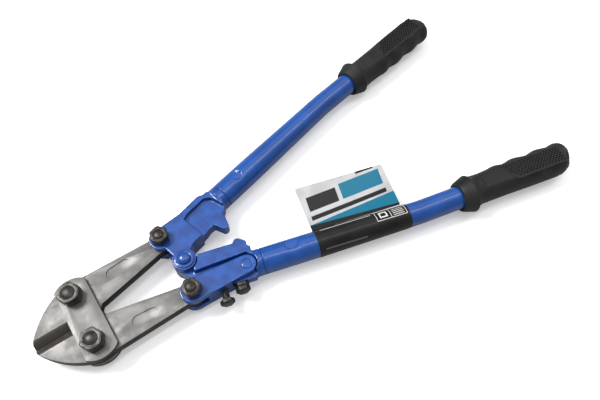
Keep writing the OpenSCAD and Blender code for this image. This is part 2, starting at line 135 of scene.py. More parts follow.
def edit(piece: Object, kind: str = "VERT") -> None:
    """Opens a piece in edit mode with nothing selected.

    Args:
        piece: the object to edit.
        kind: VERT, EDGE or FACE selection.
    """
    take(piece)
    to_mode("EDIT")
    bpy.ops.mesh.select_mode(type=kind)
    bpy.ops.mesh.select_all(action="DESELECT")


def pick(piece: Object, kind: str, test: Callable[[bpy.types.bpy_struct], bool]) -> None:
    """Opens a piece in edit mode with the elements that pass a test selected.

    Args:
        piece: the object to edit.
        kind: VERT, EDGE or FACE.
        test: says of one element whether to select it.
    """
    edit(piece, kind)
    to_mode("OBJECT")
    mesh = piece.data
    for part in {"VERT": mesh.vertices, "EDGE": mesh.edges, "FACE": mesh.polygons}[kind]:
        part.select = test(part)
    to_mode("EDIT")


def pick_points(piece: Object, test: Callable[[Vector], bool]) -> None:
    """Opens a piece in edit mode with the points selected whose place, in metres, passes a test."""
    pick(piece, "VERT", lambda point: test(point.co))


def apply_modifier(piece: Object, kind: str, **settings: object) -> None:
    """Adds a modifier to a piece and applies it.

    Args:
        piece: the object to change.
        kind: the modifier's type.
        settings: its settings.
    """
    take(piece)
    modifier = piece.modifiers.new(kind.lower(), kind)
    for key, value in settings.items():
        setattr(modifier, key, value)
    bpy.ops.object.modifier_apply(modifier=modifier.name)


def face_outwards(piece: Object) -> None:
    """Merges a piece's doubled points and turns its faces outwards."""
    edit(piece)
    bpy.ops.mesh.select_all(action="SELECT")
    bpy.ops.mesh.remove_doubles(threshold=1e-6)
    bpy.ops.mesh.normals_make_consistent(inside=False)
    deselect()


def lay(piece: Object, place: Matrix) -> None:
    """Puts a piece in place and moves that place into its mesh.

    Args:
        piece: the object to lay.
        place: the matrix from the piece's own frame to the row frame.
    """
    take(piece)
    piece.matrix_world = place @ piece.matrix_world
    bpy.ops.object.transform_apply(location=True, rotation=True, scale=True)
    face_outwards(piece)


def smooth(piece: Object, angle: float = 35.0) -> None:
    """Shades a piece smooth up to an angle, in degrees."""
    take(piece)
    bpy.ops.object.shade_smooth_by_angle(angle=math.radians(angle))


@dataclass(frozen=True)
class Ring:
    """One ring of a lofted piece, in millimetres: its place along X, half widths and centre."""

    x: float
    half_y: float
    half_z: float
    y: float = 0.0
    z: float = 0.0


def loft(name: str, rings: Sequence[Ring], sides: int = 48, capped: bool = True) -> Object:
    """Makes a piece along X by extruding a circle from ring to ring.

    Args:
        name: the piece's name.
        rings: the rings, in order.
        sides: the number of points in a ring.
        capped: whether the ends are closed.

    Returns:
        The new object, in its own frame.
    """
    deselect()
    bpy.ops.mesh.primitive_circle_add(vertices=sides, radius=MM, fill_type="NGON" if capped else "NOTHING",
                                      location=(0, 0, 0), rotation=(0, math.pi / 2, 0))
    piece = bpy.context.object
    piece.name = piece.data.name = name
    bpy.ops.object.transform_apply(location=False, rotation=True, scale=False)
    to_mode("EDIT")
    bpy.ops.mesh.select_all(action="SELECT")
    last = Ring(0, 1, 1)
    for index, ring in enumerate(rings):
        step = (Vector((ring.x, ring.y, ring.z)) - Vector((last.x, last.y, last.z))) * MM
        if index:
            bpy.ops.mesh.extrude_region_move(TRANSFORM_OT_translate={"value": step})
        else:
            bpy.ops.transform.translate(value=step)
        centre = Vector((ring.x, ring.y, ring.z)) * MM
        bpy.ops.transform.resize(value=(1, ring.half_y / last.half_y, ring.half_z / last.half_z),
                                 center_override=centre)
        last = ring
    face_outwards(piece)
    return piece


def link_new(name: str, data: bpy.types.ID) -> Object:
    """Makes an object of some data and links it to the scene."""
    made = bpy.data.objects.new(name, data)
    bpy.context.scene.collection.objects.link(made)
    return made


def copy_of(node: str, name: str) -> Object:
    """A merged copy of a CAD node's mesh, as a new object.

    Args:
        node: the CAD node.
        name: the new piece's name.

    Returns:
        The new object.
    """
    piece = link_new(name, frame["nodes"][node].data.copy())
    piece.data.name = name
    piece.data.materials.clear()
    edit(piece)
    bpy.ops.mesh.select_all(action="SELECT")
    bpy.ops.mesh.remove_doubles(threshold=2e-6)
    deselect()
    return piece


def machined(node: str, name: str, break_edge: float = 0.3) -> Object:
    """A CAD node's shape with its sharp edges broken.

    Args:
        node: the CAD node.
        name: the new piece's name.
        break_edge: the width of the broken edges, in millimetres.

    Returns:
        The new object.
    """
    piece = copy_of(node, name)
    apply_modifier(piece, "DECIMATE", decimate_type="DISSOLVE", angle_limit=math.radians(0.8))
    apply_modifier(piece, "BEVEL", width=break_edge * MM, segments=2, limit_method="ANGLE",
                   angle_limit=math.radians(32), use_clamp_overlap=True)
    smooth(piece, 32)
    return piece


def forged(piece: Object, grain: float = 0.55, passes: int = 4) -> Object:
    """Gives a piece the soft edges and filled corners of a painted forging.

    Args:
        piece: a merged copy of a CAD node's mesh.
        grain: the size of the mesh's cells, in millimetres.
        passes: how often the surface is smoothed.

    Returns:
        The same object.
    """
    apply_modifier(piece, "REMESH", mode="VOXEL", voxel_size=grain * MM)
    apply_modifier(piece, "SMOOTH", factor=0.5, iterations=passes)
    take(piece)
    bpy.ops.object.shade_smooth()
    return piece


# ---------------------------------------------------------------- material helpers


class Graph:
    """A node tree with a short way to add nodes and join them."""

    def __init__(self, tree: bpy.types.NodeTree) -> None:
        """Keeps the tree.

        Args:
            tree: the node tree to build in.
        """
        self.tree = tree

    def add(self, kind: str, inputs: dict | None = None, **settings: object) -> bpy.types.Node:
        """Adds a node.

        Args:
            kind: the node's type, without the ShaderNode prefix.
            inputs: values, or sockets to join, by input name or number.
            settings: the node's own settings.

        Returns:
            The node.
        """
        node = self.tree.nodes.new("ShaderNode" + kind)
        for key, value in settings.items():
            setattr(node, key, value)
        for key, value in (inputs or {}).items():
            if isinstance(value, Socket):
                self.tree.links.new(value, node.inputs[key])
            else:
                node.inputs[key].default_value = value
        return node

    def math(self, operation: str, a: object, b: object = 0.0, c: object = 0.0) -> Socket:
        """Joins up to three numbers by a Math operation and returns the answer's socket."""
        return self.add("Math", {0: a, 1: b, 2: c}, operation=operation).outputs[0]

    def product(self, first: object, *others: object) -> Socket:
        """Multiplies numbers and returns the product's socket."""
        for other in others:
            first = self.math("MULTIPLY", first, other)
        return first

    def place(self) -> Socket:
        """The socket of the place on the object."""
        return self.add("TexCoord").outputs["Object"]

    def noise(self, place: object, scale: object, detail: float, rough: float) -> Socket:
        """Adds noise and returns its socket."""
        return self.add("TexNoise", {"Vector": place, "Scale": scale, "Detail": detail,
                                     "Roughness": rough}).outputs[0]

    def bump(self, height: object, distance: float, strength: float = 0.5,
             normal: Socket | None = None) -> Socket:
        """Adds a bump over another normal, its distance in millimetres, and returns the normal's socket."""
        under = {} if normal is None else {"Normal": normal}
        return self.add("Bump", {"Strength": strength, "Distance": distance * MM, "Height": height,
                                 **under}).outputs[0]

    def mix(self, share: object, a: object, b: object) -> Socket:
        """Mixes two colours by a share and returns the colour's socket."""
        node = self.add("Mix", data_type="RGBA")
        for place, value in ((0, share), (6, a), (7, b)):
            if isinstance(value, Socket):
                self.tree.links.new(value, node.inputs[place])
            else:
                node.inputs[place].default_value = (*value, 1.0) if isinstance(value, tuple) else value
        return node.outputs[2]

    def between(self, value: object, low: float, high: float, to_low: float = 0.0,
                to_high: float = 1.0) -> Socket:
        """Spreads the values from low to high smoothly over a new range and returns the socket."""
        node = self.add("MapRange", {0: value, 1: low, 2: high, 3: to_low, 4: to_high},
                        interpolation_type="SMOOTHSTEP")
        return node.outputs[0]


def make_group(name: str, inputs: dict[str, float], outputs: Sequence[str],
               build: Callable[[Graph, dict], dict]) -> bpy.types.NodeTree:
    """Makes a shader node group.

    Args:
        name: the group's name.
        inputs: its number inputs and their default values.
        outputs: its number outputs.
        build: adds the nodes, and returns the socket for each output.

    Returns:
        The group's tree.
    """
    tree = bpy.data.node_groups.new(name, "ShaderNodeTree")
    for label, value in inputs.items():
        socket = tree.interface.new_socket(label, in_out="INPUT", socket_type="NodeSocketFloat")
        socket.default_value = value
    for label in outputs:
        tree.interface.new_socket(label, in_out="OUTPUT", socket_type="NodeSocketFloat")
    start = tree.nodes.new("NodeGroupInput")
    end = tree.nodes.new("NodeGroupOutput")
    made = build(Graph(tree), {label: start.outputs[label] for label in inputs})
    for label, socket in made.items():
        tree.links.new(socket, end.inputs[label])
    return tree


def build_grain(graph: Graph, given: dict) -> dict:
    """Fine and broad noise of one surface, for bump, mottling and roughness."""
    place = graph.place()
    return {"Fine": graph.noise(place, given["Fine"], 4.0, 0.6),
            "Broad": graph.noise(place, given["Broad"], 3.0, 0.55)}


def build_lines(graph: Graph, given: dict) -> dict:
    """Long thin grinding marks along X, as a height from 0 to 1."""
    scale = graph.add("CombineXYZ", {0: given["Along"], 1: given["Across"], 2: given["Across"]})
    long = graph.add("VectorMath", {0: graph.place(), 1: scale.outputs[0]}, operation="MULTIPLY")
    return {"Height": graph.noise(long.outputs[0], 1.0, 5.0, 0.7)}


def build_wear(graph: Graph, given: dict) -> dict:
    """Rubbed edges, which on the dark fasteners also carry painted edge highlights: where the surface turns
    sharply outwards, broken up by noise.
    """
    edge = graph.between(graph.add("NewGeometry").outputs["Pointiness"], 0.53, 0.60)
    broken = graph.between(graph.noise(graph.place(), given["Patch"], 5.0, 0.65), 0.52, 0.60)
    return {"Wear": graph.product(edge, broken, given["Amount"])}


def build_faces(graph: Graph, given: dict) -> dict:
    """How far a face lies flat, from 0 on the side walls to 1 on the ground faces."""
    normal = graph.add("SeparateXYZ", {0: graph.add("TexCoord").outputs["Normal"]}).outputs[2]
    return {"Flat": graph.between(graph.math("ABSOLUTE", normal), given["Low"], given["High"])}


GROUPS = {
    "grain": make_group("surface_grain", {"Fine": 900.0, "Broad": 60.0}, ("Fine", "Broad"), build_grain),
    "lines": make_group("grinding_lines", {"Along": 40.0, "Across": 1800.0}, ("Height",), build_lines),
    "wear": make_group("edge_wear", {"Patch": 300.0, "Amount": 1.0}, ("Wear",), build_wear),
    "faces": make_group("flat_faces", {"Low": 0.8, "High": 0.97}, ("Flat",), build_faces),
}


@dataclass(frozen=True)
class Finish:
    """A surface finish. Each kind of finish builds its own node graph."""

    name: str

    def start(self, **constants: float) -> tuple[bpy.types.Material, Graph, bpy.types.Node]:
        """Makes the material with its shader.

        Args:
            constants: values for the shader's own sockets, with _ for a space.

        Returns:
            The material, its graph and its Principled BSDF.
        """
        material = bpy.data.materials.new(self.name)
        material.use_nodes = True
        graph = Graph(material.node_tree)
        shader = next(n for n in material.node_tree.nodes if n.type == "BSDF_PRINCIPLED")
        for key, value in constants.items():
            shader.inputs[key.replace("_", " ")].default_value = value
        return material, graph, shader

    @staticmethod
    def group(graph: Graph, name: str, **inputs: float) -> bpy.types.Node:
        """Places a shared group in a graph with its own values.

        Args:
            graph: the material's graph.
            name: the group's key.
            inputs: its values.

        Returns:
            The group node.
        """
        node = graph.tree.nodes.new("ShaderNodeGroup")
        node.node_tree = GROUPS[name]
        for key, value in inputs.items():
            node.inputs[key].default_value = value
        return node

    def grain(self, graph: Graph, fine: float, broad: float) -> tuple[Socket, Socket]:
        """Places the shared grain and returns its fine and broad sockets."""
        return tuple(self.group(graph, "grain", Fine=fine, Broad=broad).outputs)

    @staticmethod
    def feed(graph: Graph, shader: bpy.types.Node, **sockets: Socket) -> None:
        """Joins sockets to the shader's inputs, named with _ for a space."""
        for key, socket in sockets.items():
            graph.tree.links.new(socket, shader.inputs[key.replace("_", " ")])


@dataclass(frozen=True)
class Enamel(Finish):
    """Glossy enamel over steel, with a little orange peel and rubbed edges."""

    colour: Colour = (0.004, 0.066, 0.31)
    deep: Colour = (0.003, 0.042, 0.22)
    speck: Colour = (0.004, 0.012, 0.07)
    bare: Colour = (0.10, 0.095, 0.09)
    lumps: float = 0.12
    lump_scale: float = 130.0
    wear: float = 0.8

    def build(self) -> bpy.types.Material:
        """Builds the material."""
        material, graph, shader = self.start(Coat_Weight=0.55, Coat_Roughness=0.06, IOR=1.4)
        fine, broad = self.grain(graph, 700.0, self.lump_scale)
        wear = self.group(graph, "wear", Patch=420.0, Amount=self.wear).outputs["Wear"]
        shade = graph.between(broad, 0.35, 0.65)
        paint = graph.mix(shade, self.colour, self.deep)
        specks = graph.between(fine, 0.70, 0.76)
        paint = graph.mix(graph.product(specks, 0.5), paint, self.speck)
        colour = graph.mix(wear, paint, self.bare)
        gloss = graph.between(fine, 0.3, 0.7, 0.28, 0.40)
        rough = graph.math("MAXIMUM", gloss, graph.product(wear, 0.5))
        lump = graph.bump(broad, self.lumps, 1.0)
        self.feed(graph, shader, Base_Color=colour, Roughness=rough, Metallic=graph.product(wear, 0.8),
                  Normal=graph.bump(fine, 0.03, normal=lump))
        return material


@dataclass(frozen=True)
class GroundSteel(Finish):
    """Ground tool steel with dark forging scale on its side walls."""

    bright: Colour = (0.185, 0.182, 0.178)
    dull: Colour = (0.125, 0.121, 0.115)
    lined: Colour = (0.17, 0.16, 0.15)
    stain: Colour = (0.10, 0.075, 0.055)
    worn_edge_and_highlight: Colour = (0.3, 0.29, 0.28)
    scale_colour: Colour = (0.030, 0.025, 0.021)
    scale_pale: Colour = (0.05, 0.042, 0.035)
    scale_low: float = 0.86
    scale_high: float = 0.98

    def build(self) -> bpy.types.Material:
        """Builds the material."""
        material, graph, shader = self.start(Specular_IOR_Level=0.4)
        fine, broad = self.grain(graph, 1500.0, 75.0)
        lines = self.group(graph, "lines", Along=120.0, Across=2600.0).outputs["Height"]
        flat = self.group(graph, "faces", Low=self.scale_low, High=self.scale_high).outputs["Flat"]
        wear = self.group(graph, "wear", Patch=180.0, Amount=0.06).outputs["Wear"]
        mottle = graph.between(broad, 0.38, 0.66)
        marks = graph.between(lines, 0.35, 0.7)
        face = graph.mix(graph.product(mottle, 0.8), self.bright, self.dull)
        face = graph.mix(graph.product(marks, 0.3), face, self.lined)
        stains = graph.between(fine, 0.66, 0.74)
        face = graph.mix(graph.product(stains, 0.35), face, self.stain)
        side = graph.mix(graph.between(fine, 0.35, 0.7), self.scale_colour, self.scale_pale)
        colour = graph.mix(wear, graph.mix(flat, side, face), self.worn_edge_and_highlight)
        rough = graph.math("ADD", graph.between(fine, 0.3, 0.7, 0.42, 0.54),
                           graph.product(mottle, 0.1))
        pits = graph.bump(fine, 0.05, normal=graph.bump(lines, 0.03, 0.6))
        self.feed(graph, shader, Base_Color=colour, Roughness=rough, Normal=pits,
                  Metallic=graph.between(flat, 0.0, 1.0, 0.3, 0.7))
        return material


@dataclass(frozen=True)
class DarkSteel(Finish):
    """Black-oxide or passivated fasteners, bright along their edges from rubbed wear and painted edge highlights.
    """

    colour: Colour = (0.022, 0.021, 0.020)
    tint: Colour = (0.05, 0.046, 0.042)
    worn_edge_and_highlight: Colour = (0.26, 0.25, 0.24)
    wear: float = 0.6
    rough_low: float = 0.30
    rough_high: float = 0.50

    def build(self) -> bpy.types.Material:
        """Builds the material."""
        material, graph, shader = self.start(Specular_IOR_Level=0.6)
        fine, broad = self.grain(graph, 1100.0, 240.0)
        # The edge mask paints edge highlights as well as rubbed wear on the fasteners.
        wear = self.group(graph, "wear", Patch=700.0, Amount=self.wear).outputs["Wear"]
        mottle = graph.between(broad, 0.38, 0.64)
        colour = graph.mix(wear, graph.mix(mottle, self.colour, self.tint), self.worn_edge_and_highlight)
        rough = graph.between(fine, 0.3, 0.7, self.rough_low, self.rough_high)
        self.feed(graph, shader, Base_Color=colour, Roughness=rough,
                  Normal=graph.bump(fine, 0.04), Metallic=graph.between(wear, 0.0, 1.0, 0.6, 1.0))
        return material


@dataclass(frozen=True)
class Rubber(Finish):
    """Moulded black rubber, matt with faint shiny handling marks."""

    colour: Colour = (0.006, 0.006, 0.0064)
    dusty: Colour = (0.014, 0.0138, 0.0136)

    def build(self) -> bpy.types.Material:
        """Builds the material."""
        material, graph, shader = self.start(Sheen_Weight=0.03, Sheen_Roughness=0.5, IOR=1.38)
        fine, broad = self.grain(graph, 1700.0, 55.0)
        shade = graph.between(broad, 0.36, 0.68)
        rough = graph.math("ADD", graph.between(broad, 0.35, 0.65, 0.42, 0.56),
                           graph.product(fine, 0.1))
        self.feed(graph, shader, Base_Color=graph.mix(shade, self.colour, self.dusty), Roughness=rough,
                  Normal=graph.bump(fine, 0.06, 0.55))
        return material


@dataclass(frozen=True)
class Block:
    """A printed bar. Its sides are in millimetres along the handle and across the label."""

    x0: float
    y0: float
    x1: float
    y1: float
    ink: Colour
    low_slope: float = 0.0
    high_slope: float = 0.0


@dataclass(frozen=True)
class Print(Finish):
    """Printed film or card on the lower handle: bars of ink on a base colour, with faint creases."""

    base: Colour = (0.5, 0.5, 0.5)
    shade: Colour = (0.4, 0.4, 0.4)
    blocks: tuple[Block, ...] = ()
    centre_y: float = 0.0
    stretch_y: float = 1.0
    coat: float = 0.5
    rough: float = 0.35
    least_facing: float = 0.12

    def inside(self, graph: Graph, x: object, y: object, block: Block) -> Socket:
        """1 inside a bar and 0 outside. Its low and high sides may slope along the handle.

        Args:
            graph: the material's graph.
            x: the place along the handle, in millimetres.
            y: the place across the label, in millimetres.
            block: the bar.

        Returns:
            The mask's socket.
        """
        along = graph.math("SUBTRACT", x, block.x0)
        low = graph.math("MULTIPLY_ADD", along, block.low_slope, block.y0)
        high = graph.math("MULTIPLY_ADD", along, block.high_slope, block.y1)
        limits = ((y, low, high), (x, block.x0, block.x1))
        return graph.product(*(graph.math(test, value, limit) for value, start, end in limits
                               for test, limit in (("GREATER_THAN", start), ("LESS_THAN", end))))

    def build(self) -> bpy.types.Material:
        """Builds the material."""
        material, graph, shader = self.start(Coat_Weight=self.coat, Coat_Roughness=0.15,
                                             Specular_IOR_Level=0.15)
        places = graph.add("TexCoord")
        laid = graph.add("Mapping", {"Vector": places.outputs["Object"], "Scale": (1 / MM, -1 / MM, 1 / MM),
                                     "Rotation": (0, 0, -HANDLE_ANGLE)}, vector_type="POINT")
        place = graph.add("SeparateXYZ", {0: laid.outputs[0]})
        facing = graph.add("SeparateXYZ", {0: places.outputs["Normal"]}).outputs[2]
        front = graph.math("GREATER_THAN", facing, self.least_facing)
        x = place.outputs[0]
        y = graph.product(graph.math("SUBTRACT", self.centre_y, place.outputs[1]), self.stretch_y)
        fine, broad = self.grain(graph, 900.0, 70.0)
        colour = graph.mix(graph.between(broad, 0.35, 0.65), self.base, self.shade)
        for block in self.blocks:
            shown = graph.product(self.inside(graph, x, y, block), front)
            colour = graph.mix(shown, colour, block.ink)
        rough = graph.between(fine, 0.3, 0.7, self.rough - 0.06, self.rough + 0.08)
        self.feed(graph, shader, Base_Color=colour, Roughness=rough,
                  Normal=graph.bump(broad, 0.25))
        return material


@dataclass(frozen=True)
class Floor(Finish):
    """A plain pale floor. The camera sees it paler than the object does."""

    colour: Colour = (0.93, 0.93, 0.935)
    bounce: Colour = (0.42, 0.42, 0.425)
    lift: float = 0.30

    def build(self) -> bpy.types.Material:
        """Builds the material."""
        material, graph, shader = self.start(Specular_IOR_Level=0.1, Emission_Strength=self.lift)
        fine, broad = self.grain(graph, 300.0, 12.0)
        tone = tuple(0.985 * part for part in self.colour)
        seen = graph.add("LightPath").outputs["Is Camera Ray"]
        pale = graph.mix(broad, self.colour, tone)
        self.feed(graph, shader, Base_Color=graph.mix(seen, self.bounce, pale),
                  Emission_Color=graph.mix(seen, (0.0, 0.0, 0.0), (1.0, 1.0, 1.0)),
                  Roughness=graph.between(fine, 0.3, 0.7, 0.75, 0.85))
        return material


# ---------------------------------------------------------------- finishes by slot

INK_BLACK = (0.006, 0.006, 0.007)
INK_TEAL = (0.002, 0.145, 0.245)
INK_WHITE = (0.62, 0.61, 0.58)


class Slot(Enum):
    """The record's material slots."""

    CASTING = "blue_enamel_casting"
    TUBE = "blue_enamel_tube"
    RUBBER = "black_rubber"
    WRAP = "dark_wrap"
    CARD = "tag_card"
    JAW = "tool_steel"
    PLATE = "ground_plate"
    PLATED = "plated_fastener"
    BLACKENED = "blackened_fastener"


CARD_PRINT = (
    Block(0.5, 0, 90.5, 5.0, INK_BLACK, high_slope=-0.035),
    Block(0.5, 5.0, 90.5, 5.2, INK_TEAL, low_slope=-0.035, high_slope=0.105),
    Block(4.0, 8.4, 71.0, 12.0, INK_BLACK, low_slope=0.085, high_slope=0.085),
    Block(4.5, 16.0, 30.5, 28.0, INK_BLACK, low_slope=0.085, high_slope=0.085),
    Block(34.0, 18.6, 70.5, 32.0, INK_TEAL, low_slope=0.085, high_slope=0.085),
    Block(51.0, 36.0, 67.0, 38.6, INK_BLACK, low_slope=0.05, high_slope=0.05),
)
WRAP_PRINT = (
    Block(5.0, 6.4, 48.0, 7.0, INK_WHITE),
    Block(51.0, -1.8, 77.0, 8.3, INK_WHITE),
    Block(51.5, -1.3, 63.2, 7.8, INK_BLACK),
    Block(63.7, -1.3, 76.5, 7.8, INK_BLACK),
    Block(54.0, 0.4, 60.8, 6.2, INK_WHITE),
    Block(55.2, 1.6, 59.6, 5.0, INK_BLACK),
    Block(65.4, -0.2, 74.8, 0.4, INK_WHITE),
    Block(65.4, 1.6, 74.8, 2.2, INK_WHITE),
    Block(65.4, 3.4, 74.8, 4.0, INK_WHITE),
    Block(65.4, 5.2, 74.8, 5.8, INK_WHITE),
    Block(5.0, -9.4, 40.0, -8.6, (0.10, 0.097, 0.09)),
)


def moved(blocks: Iterable[Block], start: float) -> tuple[Block, ...]:
    """Bars laid out from a label's end, moved to their place along the handle.

    Args:
        blocks: the bars.
        start: the label's end along the handle, in millimetres.
    """
    return tuple(replace(block, x0=block.x0 + start, x1=block.x1 + start) for block in blocks)


# ---------------------------------------------------------------- sub-assemblies


@dataclass
class SubAssembly:
    """Pieces that belong together."""

    finishes: dict[Slot, bpy.types.Material]

    def settle(self, piece: Object, slot: Slot, body: str, *nodes: str) -> None:
        """Dresses a finished piece and joins it to its body.

        Args:
            piece: the piece, in its place.
            slot: the finish it takes.
            body: the body it rides on.
            nodes: the CAD nodes it stands for.
        """
        piece.data.materials.clear()
        piece.data.materials.append(self.finishes[slot])
        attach(piece, body)
        if nodes:
            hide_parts(*nodes)
        LOG.info("%s: %d faces on %s, finish %s", piece.name, len(piece.data.polygons), body, slot.value)


def body_with(node: str) -> str:
    """The body that a CAD node belongs to.

    Args:
        node: the CAD node's name.
    """
    bodies = frame["record"]["behaviour"]["bodies"]
    return next(body for body, nodes in bodies.items() if node in nodes)


@dataclass
class Castings(SubAssembly):
    """The two forged heads and the yoke, under thick enamel."""

    nodes: tuple[str, ...] = ("upper_head", "lower_head", "yoke")
    recess_x: tuple[float, float] = (19.0, 55.0)
    recess_y: tuple[float, float] = (10.0, 28.6)
    rim_z: float = 9.0
    draft: float = 2.6

    def slope_recess(self, head: Object) -> None:
        """Slopes the walls of the recess in both faces of the upper head.

        Args:
            head: the copy of the upper head.
        """
        apply_modifier(head, "DECIMATE", decimate_type="DISSOLVE", angle_limit=math.radians(0.8))
        to_handle = Side.UPPER.place.inverted()
        flats: dict[tuple[int, int], list[bool]] = {}
        for face in head.data.polygons:
            for key in face.edge_keys:
                flats.setdefault(key, []).append(abs(face.normal.z) > 0.9)

        def on_rim(edge: bpy.types.MeshEdge) -> bool:
            """Whether an edge joins a flat face to a wall of the recess."""
            ends = [head.data.vertices[index].co for index in edge.vertices]
            middle = to_handle @ ((ends[0] + ends[1]) / 2) / MM
            inside = (self.recess_x[0] < middle.x < self.recess_x[1]
                      and self.recess_y[0] < middle.y < self.recess_y[1])
            return inside and abs(abs(middle.z) - self.rim_z) < 0.2 and len(set(flats[edge.key])) == 2

        pick(head, "EDGE", on_rim)
        bpy.ops.mesh.bevel(offset=self.draft * MM, segments=1, affect="EDGES", clamp_overlap=True)
        deselect()

    def make(self) -> None:
        """Makes and dresses the castings."""
        for node in self.nodes:
            piece = copy_of(node, node + "_forging")
            if node == "upper_head":
                self.slope_recess(piece)
            self.settle(forged(piece), Slot.CASTING, body_with(node), node)


@dataclass
class MachinedParts(SubAssembly):
    """Jaws, plates and fasteners with their sharp edges broken."""

    edges: dict[Slot, tuple[float, tuple[str, ...]]] = field(default_factory=lambda: {
        Slot.JAW: (0.45, ("upper_jaw", "lower_jaw")),
        Slot.PLATE: (0.4, ("front_plate", "rear_plate")),
        Slot.PLATED: (0.3, ("upper_tail_bolt", "lower_tail_bolt", "upper_tail_washer", "lower_tail_washer",
                            "upper_tail_nut", "lower_tail_nut")),
        Slot.BLACKENED: (0.35, ("upper_jaw_bolt", "lower_jaw_bolt", "upper_jaw_washer", "lower_jaw_washer",
                                "upper_jaw_nut", "lower_jaw_nut", "setting_lock_nut")),
        Slot.CASTING: (0.35, ("centre_rivet", "front_centre_washer", "rear_centre_washer", "yoke_rivet")),
    })

    def make(self) -> None:
        """Makes and dresses the machined pieces."""
        for slot, (edge, nodes) in self.edges.items():
            for node in nodes:
                self.settle(machined(node, node + "_finished", edge), slot, body_with(node), node)


@dataclass
class SettingScrews(SubAssembly):
    """The two setting screws under the lower head: a hexagon head on a threaded neck."""

    screw_r: float = 3.0
    thread_depth: float = 0.4
    pitch: float = 1.0
    head_af: float = 10.0
    head_h: float = 4.0
    crown_h: float = 0.9
    out_x: dict[str, float] = field(default_factory=lambda: {"yoke_setting_screw": 22.3,
                                                             "head_setting_screw": 36.0})

    def screw(self, node: str) -> Object:
        """Makes one screw, from its point to the crown of its head, along the CAD screw's axis.

        Args:
            node: the CAD screw.

        Returns:
            The screw, in place.
        """
        to_handle = Side.LOWER.place.inverted()
        depths = [(to_handle @ v.co).y / MM for v in frame["nodes"][node].data.vertices]
        start, end = min(depths), max(depths)
        under_head = end - self.head_h
        turns = int((under_head - start) / self.pitch)
        step = (under_head - start) / turns
        rings = [Ring(start, self.screw_r * 0.6, self.screw_r * 0.6)]
        for turn in range(turns):
            root = self.screw_r - self.thread_depth
            at = start + turn * step
            rings += [Ring(at + 0.1 * step, root, root), Ring(at + 0.45 * step, self.screw_r, self.screw_r),
                      Ring(at + 0.6 * step, self.screw_r, self.screw_r), Ring(at + 0.98 * step, root, root)]
        shank = loft(node + "_finished", rings, 24)
        across = self.head_af / math.sqrt(3)
        flat = self.head_af / 2
        sizes = ((under_head, flat), (under_head + 0.01, across), (end - self.crown_h, across),
                 (end, flat * 0.86))
        head = loft(node + "_head", [Ring(x, size, size) for x, size in sizes], 6)
        apply_modifier(head, "BEVEL", width=0.3 * MM, segments=2, limit_method="ANGLE",
                       angle_limit=math.radians(25))
        take(shank)
        head.select_set(True)
        bpy.ops.object.join()
        upright = Matrix.Translation((self.out_x[node] * MM, 0, 0)) @ Matrix.Rotation(math.pi / 2, 4, "Z")
        lay(shank, Side.LOWER.place @ upright)
        smooth(shank, 30)
        return shank

    def make(self) -> None:
        """Makes and dresses both screws."""
        for node in self.out_x:
            self.settle(self.screw(node), Slot.BLACKENED, body_with(node), node)


@dataclass
class Tube(SubAssembly):
    """A handle's tapered tube: seam ridges and a crimp mark near the head, and a slight bend."""

    side: Side = Side.UPPER
    axis_y: float = UPPER_AXIS_Y
    seam: float = 61.2
    crimp_x: float = 80.5
    crimp_y: float = 22.8
    crimp_l: float = 8.0
    crimp_w: float = 9.0
    crimp_depth: float = 1.9
    ridges: int = 0
    thick_r: float = 10.65
    thin_r: float = 9.65
    wall: float = 2.0
    taper_start: float = 95.0
    taper_end: float = 182.0
    ring_step: float = 0.8
    end: float = 331.0

    def radius(self, x: float) -> float:
        """The tube's outer radius at a place along it."""
        share = (x - self.taper_start) / (self.taper_end - self.taper_start)
        return self.thick_r + (self.thin_r - self.thick_r) * min(max(share, 0.0), 1.0)

    def rings(self) -> list[Ring]:
        """The tube's rings, close together at the seam, the crimp and the bend."""
        lip = [Ring(self.seam + x, self.thick_r - drop, self.thick_r - drop, self.axis_y)
               for x, drop in ((0.05, 0.75), (0.2, 0.4), (0.45, 0.12), (0.8, 0.0))]
        close = int((self.taper_start - self.seam - 2) / self.ring_step)
        places = [self.seam + 1.4 + self.ring_step * step for step in range(close)]
        places += [self.taper_start + 6 * step for step in range(15)]
        places += [BEND_AT + 1.5 * step for step in range(-5, 6)] + [BEND_AT + 30, self.end]
        body = []
        for x in places:
            near = (x - self.seam) / 3.2
            dip = 0.22 * max(0.0, math.cos(2 * math.pi * near)) if 0.5 < near < self.ridges + 0.5 else 0.0
            body.append(Ring(x, self.radius(x) - dip, self.radius(x) - dip, self.axis_y))
        return lip + body

    def crimp(self, tube: Object) -> None:
        """Presses the crimp mark into the tube's upper face and flattens the face round it."""
        core_l, core_w = self.crimp_l * 0.5, self.crimp_w * 0.5

        def in_core(point: Vector) -> bool:
            """Whether a point lies on the floor of the mark."""
            x, y = point.x / MM - self.crimp_x, point.y / MM - self.crimp_y
            return point.z > 0 and (x / core_l) ** 2 + (y / core_w) ** 2 < 1

        pick_points(tube, in_core)
        bpy.ops.transform.resize(value=(1, 1, 0.3),
                                 center_override=(0, 0, (self.thick_r - self.crimp_depth) * MM))
        bpy.ops.transform.translate(value=(0, 0, -0.25 * MM), use_proportional_edit=True,
                                    proportional_edit_falloff="SMOOTH", proportional_size=4 * MM)
        deselect()

    def bend(self, tube: Object) -> None:
        """Bends the tube inwards in small steps round its bend."""
        steps = 6
        for step in range(steps):
            at = (BEND_AT + 1.5 * (step - (steps - 1) / 2)) * MM
            pick_points(tube, lambda point, at=at: point.x > at + 1e-5)
            bpy.ops.transform.rotate(value=math.radians(BEND_ANGLE) / steps, orient_axis="Z",
                                     center_override=(at, self.axis_y * MM, 0))
        deselect()

    def make(self) -> None:
        """Makes and dresses the tube."""
        name = f"{self.side.value}_tube"
        tube = loft(name + "_drawn", self.rings(), 72, capped=False)
        self.crimp(tube)
        self.bend(tube)
        lay(tube, self.side.place)
        apply_modifier(tube, "SOLIDIFY", thickness=self.wall * MM, offset=-1.0)
        smooth(tube, 50)
        self.settle(tube, Slot.TUBE, self.side.body, name)


